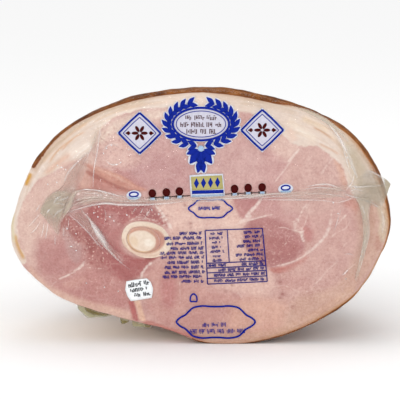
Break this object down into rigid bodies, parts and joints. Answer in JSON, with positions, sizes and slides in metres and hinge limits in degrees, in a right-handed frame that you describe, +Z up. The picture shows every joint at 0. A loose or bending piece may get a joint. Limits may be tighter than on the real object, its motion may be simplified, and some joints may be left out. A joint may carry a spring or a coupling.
{
  "type": "bone-in leg ham",
  "caption": "Shank half of a leg ham on the bone, lying on its side in a tight clear film bag: oval cut face with a sawn bone, tapering to the shank. Cured meat to carve and serve.",
  "frame": {"origin": "middle of the whole object's base, on the surface it lies on", "axes": "+Z up; -Y looks out of the cut face; +Y runs along the leg to the shank; +X to the right seen from the cut face"},
  "size_m": [0.2576, 0.2892, 0.1736],
  "materials": {
    "ham in film": "pink cured lean and cream fat under tight glossy clear film",
    "bone": "sawn cream bone",
    "marrow": "soft waxy marrow",
    "label paper": "plain white sticker"
  },
  "bodies": {
    "root": {"ham_in_film": "ham in film", "leg_bone": "bone", "marrow": "marrow", "date_label": "label paper"}
  },
  "joints": []
}
